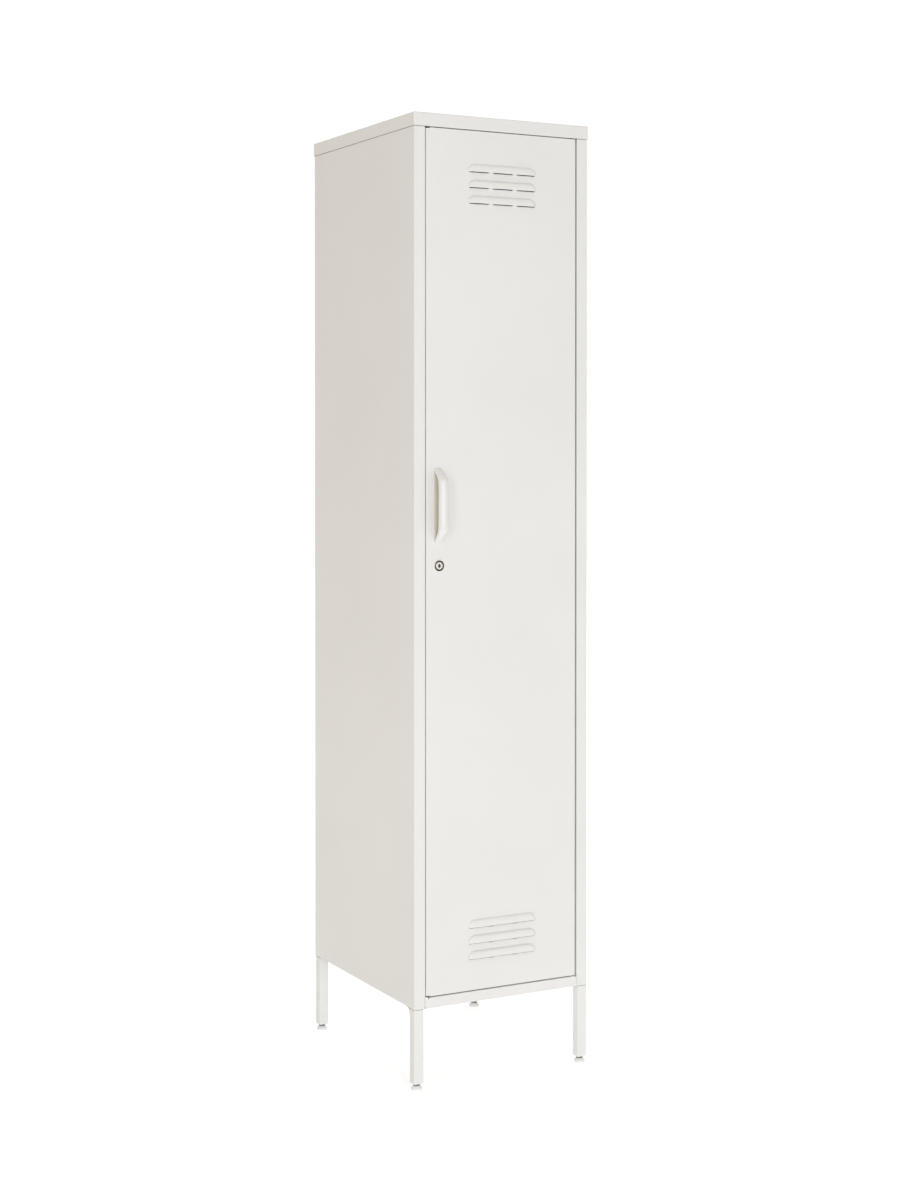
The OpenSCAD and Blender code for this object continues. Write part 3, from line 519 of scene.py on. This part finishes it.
PULL_EDGE = 1.3         # thickness of the free edge
PULL_EDGE_INSET = 0.5
PLATE_SINK = 0.05       # how far the pull's base goes into the plate


def smooth_min(a, b, blend):
    return (a + b - math.sqrt((a - b) ** 2 + blend ** 2)) / 2


def pull_ring(z, out, half_w, base):
    """The pull's section at height z: a hooked wall, open to the left. Points are (across, outward, z)."""
    crown = min(PULL_CROWN, PULL_CROWN_SHARE * out)
    outer = [(half_w, base), (half_w, (out - crown + base) / 2)]
    for i in range(PULL_ARC_STEPS + 1):
        a = math.pi * i / PULL_ARC_STEPS
        outer.append((half_w * math.cos(a), out - crown + crown * math.sin(a)))
    inner_out = max(out - PULL_WALL, base)
    right = half_w - PULL_WALL * PULL_SIDE_WALL
    left = -half_w + PULL_EDGE_INSET
    middle, reach = (left + right) / 2, (right - left) / 2
    inner_crown = min(crown, inner_out - base)
    edge = max(out - crown - PULL_EDGE, base)
    inner = []
    for i in range(PULL_ARC_STEPS + 1):
        a = math.pi * (1 - i / PULL_ARC_STEPS)
        if i < PULL_ARC_STEPS / 2:
            rise = edge + (inner_out - edge) * math.sin(a)
        else:
            rise = inner_out - inner_crown + inner_crown * math.sin(a)
        inner.append((middle + reach * math.cos(a), max(rise, base)))
    inner += [(right, (inner_out - inner_crown + base) / 2), (right, base)]
    return [(x, o, z) for x, o in outer + inner]


def add_pull():
    low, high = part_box("handle_plate")
    centre = Vector(((low.x + high.x) / 2, high.y, (low.z + high.z) / 2))
    plate_half = (high.z - low.z) / 2 * MM
    plate_out = (high.y - low.y) * MM - PLATE_SINK
    rings = []
    for i in range(PULL_STEPS + 1):
        z = -PULL_HALF * math.cos(math.pi * i / PULL_STEPS)
        to_end = PULL_HALF - abs(z)
        full = math.sqrt(min(to_end / PULL_TIP, 1.0))
        out = smooth_min(PULL_OUT + PULL_LIFT, PULL_END_OUT + PULL_SLOPE * to_end, PULL_BLEND)
        out *= min(1.0, PULL_TIP_OUT + (1 - PULL_TIP_OUT) * full)
        taper = max(0.0, 1 - to_end / PULL_TAPER)
        half_w = PULL_HALF_W - (PULL_HALF_W - PULL_END_HALF_W) * taper ** PULL_TAPER_POWER
        half_w -= PULL_TIP_NARROW * (1 - full)
        base = plate_out if abs(z) < plate_half else 0.0
        ring = pull_ring(z, min(out, PULL_OUT), half_w, base)
        shift = PULL_SHIFT * (1 - taper)
        rings.append([centre + Vector((x + shift, -o, v)) / MM for x, o, v in ring])
    verts, faces = skin(rings)
    piece("pull", verts, faces, "handle_paint", "door", ["handle"])


# The lock's head and barrel: (radius, distance out of the door), in millimetres
LOCK_SIDES = 96
LOCK_PROFILE = [
    (6.55, -22.9), (6.55, 1.5), (6.8, 1.9), (7.1, 1.95), (7.35, 1.7), (7.5, 0.5), (9.2, 0.5), (9.35, 1.75),
    (9.55, 2.1), (9.85, 2.2), (10.2, 2.05), (10.42, 1.7), (10.5, 1.2), (10.5, 0.05), (9.4, 0.0), (9.4, -0.9),
]
BARREL_ROOT, BARREL_CREST = 8.9, 9.4
BARREL_THREAD = 1.0
BARREL_START, BARREL_STOP = -1.4, -22.0    # of the thread
BARREL_END = (9.2, -22.9)


def lathe(profile, axis_point, steps):
    """Turns a closed profile of (radius, distance out of the door), in millimetres, about a line along y."""
    rings = []
    for i in range(steps):
        a = 2 * math.pi * i / steps
        ring = [Vector((r * math.cos(a), -h, r * math.sin(a))) / MM for r, h in profile]
        rings.append([axis_point + v for v in ring])
    verts, faces = skin(rings + [rings[0]], closed_ends=False)
    total = steps * len(profile)
    return verts[:total], [tuple(v % total for v in face) for face in faces]


def add_lock_housing():
    ridges = []
    depth = BARREL_START
    while depth > BARREL_STOP:
        ridges.append((BARREL_ROOT, depth - BARREL_THREAD / 4))
        ridges.append((BARREL_CREST, depth - BARREL_THREAD * 3 / 4))
        depth -= BARREL_THREAD
    verts, faces = lathe(LOCK_PROFILE + ridges + [BARREL_END], LOCK_CENTRE, LOCK_SIDES)
    piece("lock_head", verts, faces, "lock_chrome", "door", ["lock_housing"], 0.5)


# The keyway's black lozenge, painted shade for the key's slot, in millimetres about the plug's middle
KEYWAY_SHADE_OUTLINE = [   # its outline, as (across, up)
    (0.4, -3.6), (2.4, -2.3), (3.3, 0.0), (2.4, 2.3), (0.4, 3.6), (-1.6, 2.3), (-2.5, 0.0), (-1.6, -2.3),
]
KEYWAY_SHADE_STEPS = 3
KEYWAY_SHADE_MIDDLE = 0.4
KEYWAY_SHADE_RINGS = [   # depth behind the plug's front, and share of the outline
    (0.3, 1.0), (-0.04, 1.0), (-0.10, 0.94), (-0.10, 0.62), (0.35, 0.55), (0.9, 0.50),
]


def add_keyway():
    """A small lozenge of black plastic round the key's slot, sunk towards its middle, as painted shade in the
    keyhole.
    """
    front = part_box("lock_plug")[0].y * MM
    centre = Vector((LOCK_CENTRE.x, 0, LOCK_CENTRE.z))
    outline = []
    for (x, z), (after_x, after_z) in zip(KEYWAY_SHADE_OUTLINE, KEYWAY_SHADE_OUTLINE[1:] + KEYWAY_SHADE_OUTLINE[:1]):
        for k in range(KEYWAY_SHADE_STEPS):
            t = k / KEYWAY_SHADE_STEPS
            outline.append((x + (after_x - x) * t, z + (after_z - z) * t))
    rings = []
    for depth, share in KEYWAY_SHADE_RINGS:
        ring = []
        for x, z in outline:
            across = KEYWAY_SHADE_MIDDLE + (x - KEYWAY_SHADE_MIDDLE) * share
            ring.append(centre + Vector((across, front + depth, z * share)) / MM)
        rings.append(ring)
    verts, faces = skin(rings)
    piece("keyway_painted_shade", verts, faces, "black_plastic", "lock", [], 0.5)


# A foot's screw, in millimetres
SHANK_R = 3.0
SHANK_END_R = 2.7
SHANK_BEVEL = 0.3
HEX_DROP = 38.0         # from the screw's top to the hexagon's underside
HEX_HEIGHT = 4.2
HEX_BEVEL = (0.5, 0.35)  # inward, and along the screw
THREAD_R = 3.98
THREAD_ROOT = 3.35
THREAD_PITCH = 1.25
THREAD_SIDES = 28
THREAD_LAYERS = 6       # rings for each turn
THREAD_ROOT_SHARE = 0.12    # of half a turn
THREAD_FLANK_SHARE = 0.66
THREAD_START, THREAD_STOP = 0.3, 0.8       # left plain at the lower and upper end
THREAD_FADE_IN, THREAD_FADE_OUT = 1.0, 1.6
THREAD_END_STEP = 0.4   # how much narrower than the root the top is


def hexagon_ring(radius, z):
    """A hexagon drawn with THREAD_SIDES points, so that it joins the round rings."""
    ring = []
    for k in range(THREAD_SIDES):
        a = 2 * math.pi * k / THREAD_SIDES
        wedge = (a + math.pi / 6) % (math.pi / 3) - math.pi / 6
        r = radius * math.cos(math.pi / 6) / math.cos(wedge)
        ring.append((r * math.cos(a + math.pi / 6), r * math.sin(a + math.pi / 6), z))
    return ring


def round_ring(radius, z):
    angles = [2 * math.pi * k / THREAD_SIDES for k in range(THREAD_SIDES)]
    return [(radius * math.cos(a), radius * math.sin(a), z) for a in angles]


def thread_depth(phase):
    """Height of the thread above its root at a phase through the pitch: crest, flank, root and flank."""
    height = abs(2 * (phase % 1.0) - 1)
    share = min(max((height - THREAD_ROOT_SHARE) / THREAD_FLANK_SHARE, 0.0), 1.0)
    return (THREAD_R - THREAD_ROOT) * share


def thread_ring(z, fade):
    ring = []
    for k in range(THREAD_SIDES):
        turn = k / THREAD_SIDES
        r = THREAD_ROOT + thread_depth(z / THREAD_PITCH + turn) * max(fade, 0.0)
        ring.append((r * math.cos(2 * math.pi * turn), r * math.sin(2 * math.pi * turn), z))
    return ring


def add_foot_screw(corner):
    node = f"{corner}_foot_stud"
    low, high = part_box(node)
    centre = Vector(((low.x + high.x) / 2, (low.y + high.y) / 2, 0.0))
    bottom, top = low.z * MM, high.z * MM
    hex_low = top - HEX_DROP
    hex_top = hex_low + HEX_HEIGHT
    hex_r = (high.x - low.x) * MM / 2
    inward, along = HEX_BEVEL
    rings = [
        round_ring(SHANK_END_R, bottom),
        round_ring(SHANK_R, bottom + SHANK_BEVEL),
        round_ring(SHANK_R, hex_low),
        hexagon_ring(hex_r - inward, hex_low),
        hexagon_ring(hex_r, hex_low + along),
        hexagon_ring(hex_r, hex_top - along),
        hexagon_ring(hex_r - inward, hex_top),
        round_ring(THREAD_ROOT, hex_top),
    ]
    z = hex_top + THREAD_START
    while z < top - THREAD_STOP:
        fade = min((z - hex_top) / THREAD_FADE_IN, (top - z) / THREAD_FADE_OUT, 1.0)
        rings.append(thread_ring(z, fade))
        z += THREAD_PITCH / THREAD_LAYERS
    rings.append(round_ring(THREAD_ROOT - THREAD_END_STEP, top))
    rings = [[centre + Vector(v) / MM for v in ring] for ring in rings]
    verts, faces = skin(rings)
    name = f"{corner}_foot_screw"
    # the screw's darker look is painted shade in the gap between leg and foot
    piece(name, verts, faces, "zinc_steel", f"{corner}_stud", [node], 0.7, look="stud_steel")


# The top pin's spring, in millimetres
SPRING_TURNS = 13
SPRING_STEPS = 24       # for each turn
SPRING_WIRE_R = 0.45
SPRING_WIRE_SIDES = 8
SPRING_DEAD_TURNS = 1.2
SPRING_DEAD_PITCH = 2.1  # of the closed end turns, in wire radii


def add_draw_spring():
    """A coil with closed ends, on a mesh of its own."""
    low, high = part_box("top_pin_spring")
    base = Vector(((low.x + high.x) / 2, (low.y + high.y) / 2, low.z))
    coil_r = (high.x - low.x) * MM / 2 - SPRING_WIRE_R
    length = (high.z - low.z) * MM - 2 * SPRING_WIRE_R
    dead = SPRING_DEAD_TURNS * SPRING_WIRE_R * SPRING_DEAD_PITCH
    open_pitch = (length - 2 * dead) / (SPRING_TURNS - 2 * SPRING_DEAD_TURNS)
    rings = []
    for i in range(SPRING_TURNS * SPRING_STEPS + 1):
        turn = i / SPRING_STEPS
        if turn < SPRING_DEAD_TURNS:
            height = dead * turn / SPRING_DEAD_TURNS
        elif turn > SPRING_TURNS - SPRING_DEAD_TURNS:
            height = length - dead * (SPRING_TURNS - turn) / SPRING_DEAD_TURNS
        else:
            height = dead + open_pitch * (turn - SPRING_DEAD_TURNS)
        a = 2 * math.pi * turn
        outward = Vector((math.cos(a), math.sin(a), 0))
        middle = outward * coil_r + Vector((0, 0, height + SPRING_WIRE_R))
        ring = []
        for k in range(SPRING_WIRE_SIDES):
            b = 2 * math.pi * k / SPRING_WIRE_SIDES
            rim = SPRING_WIRE_R * (math.cos(b) * outward + Vector((0, 0, math.sin(b))))
            ring.append(base + (middle + rim) / MM)
        rings.append(ring)
    verts, faces = skin(rings)
    spring = piece("draw_spring", verts, faces, "spring_steel", "door", ["top_pin_spring"], 1.2)
    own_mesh(spring)


# ---- The scene ----

add_camera()
add_studio()
MATERIALS = {name: make(name, **settings) for name, (make, settings) in RECIPES.items()}
finish_cad_nodes(MATERIALS)
add_pull()
add_lock_housing()
add_keyway()
for corner in ("front_left", "front_right", "rear_left", "rear_right"):
    add_foot_screw(corner)
add_draw_spring()
